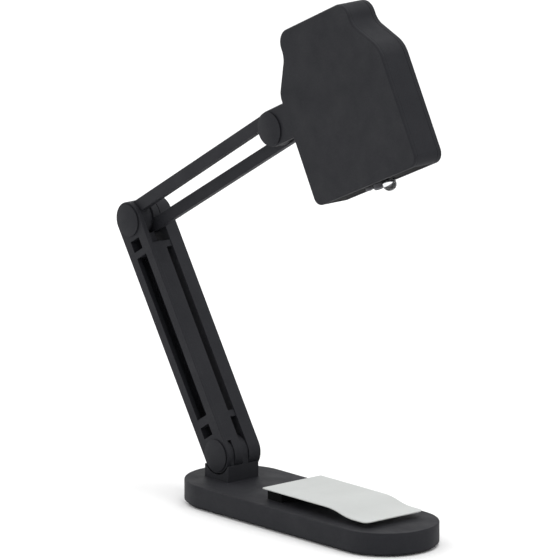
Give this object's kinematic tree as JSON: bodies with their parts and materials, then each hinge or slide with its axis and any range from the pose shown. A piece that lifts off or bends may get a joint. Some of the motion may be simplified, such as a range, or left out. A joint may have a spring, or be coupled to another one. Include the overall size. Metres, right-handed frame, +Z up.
{
  "type": "overhead projector",
  "caption": "Compact folding overhead projector: flat optics head on a two-part friction arm above a round-ended base with a sprung leaf.",
  "frame": {"origin": "middle of the overall footprint, on the surface the rubber feet rest on", "axes": "+X towards the free end of the leaf and the head, +Y away from the face with the hinge caps, +Z up"},
  "size_m": [0.3454, 0.081, 0.4127],
  "materials": {
    "charcoal_plastic": "matte",
    "black_plastic": "matte",
    "leaf_metal": "satin",
    "rubber": "matte",
    "steel": "satin",
    "aluminium": "satin",
    "clear_plastic": "gloss",
    "lens_glass": "gloss",
    "smoke_plastic": "gloss",
    "circuit_board": "satin",
    "led_phosphor": "satin",
    "cell_wrap": "satin"
  },
  "bodies": {
    "base": {"base_shell": "charcoal_plastic", "base_bottom_cover": "charcoal_plastic", "rubber_feet": "rubber", "base_screws": "steel", "ballast_plate": "steel", "hinge_bracket": "charcoal_plastic", "bracket_screws": "steel", "foot_friction_washers": "black_plastic", "leaf_spacer": "black_plastic", "leaf_root": "leaf_metal", "leaf_studs": "steel", "leaf_nuts": "steel"},
    "leaf": {"leaf_blade": "leaf_metal"},
    "lower_arm": {"lower_arm_side_plate": "charcoal_plastic", "lower_arm_frame": "charcoal_plastic", "foot_axle": "steel", "knee_axle": "steel", "axle_clips": "steel", "foot_cap": "charcoal_plastic", "knee_cap": "charcoal_plastic"},
    "upper_arm": {"upper_arm_near_link": "charcoal_plastic", "upper_arm_far_link": "charcoal_plastic", "knee_link_spacer": "charcoal_plastic", "head_link_spacer": "charcoal_plastic", "link_screws": "steel", "knee_friction_washers": "black_plastic", "head_friction_washers": "black_plastic"},
    "head": {"head_near_shell": "charcoal_plastic", "head_far_shell": "charcoal_plastic", "head_frame": "charcoal_plastic", "head_bottom_plate": "black_plastic", "shell_screws": "steel", "head_axle": "steel", "head_clip": "steel", "head_cap": "charcoal_plastic", "status_light": "smoke_plastic", "lamp_dome": "clear_plastic", "lamp_led": "led_phosphor", "lamp_board": "circuit_board", "heat_sink": "aluminium", "lens_sleeve": "charcoal_plastic", "imager_board": "circuit_board", "main_board": "circuit_board", "battery_cell": "cell_wrap", "side_board": "circuit_board", "power_switch": "black_plastic", "charge_inlet": "black_plastic"},
    "focus": {"focus_barrel": "smoke_plastic", "front_lens": "lens_glass", "rear_lens": "lens_glass"},
    "button": {"power_button": "charcoal_plastic"}
  },
  "joints": [
    {"name": "foot_tilt", "type": "hinge", "parent": "base", "child": "lower_arm", "pos_m": [-0.0561, 0, 0.0374], "axis": [0, 1, 0], "range_deg": [-16, 35]},
    {"name": "knee_fold", "type": "hinge", "parent": "lower_arm", "child": "upper_arm", "pos_m": [-0.15874, 0, 0.20167], "axis": [0, 1, 0], "range_deg": [-90, 28]},
    {"name": "head_tilt", "type": "hinge", "parent": "upper_arm", "child": "head", "pos_m": [0.00641, 0, 0.30288], "axis": [0, -1, 0], "range_deg": [-60, 75]},
    {"name": "leaf_flex", "type": "hinge", "parent": "base", "child": "leaf", "pos_m": [0.03055, 0, 0.0274], "axis": [0, -1, 0], "range_deg": [0, 6], "stiffness_Nm_per_rad": 2},
    {"name": "power_button_press", "type": "slide", "parent": "head", "child": "button", "axis": [0.8926, 0, 0.4509], "range_m": [0, 0.001], "stiffness_N_per_m": 500},
    {"name": "focus_turn", "type": "hinge", "parent": "head", "child": "focus", "pos_m": [0.11663, -0.0025, 0.27453], "axis": [-0.4509, 0, 0.8926], "range_deg": [-60, 60]}
  ]
}
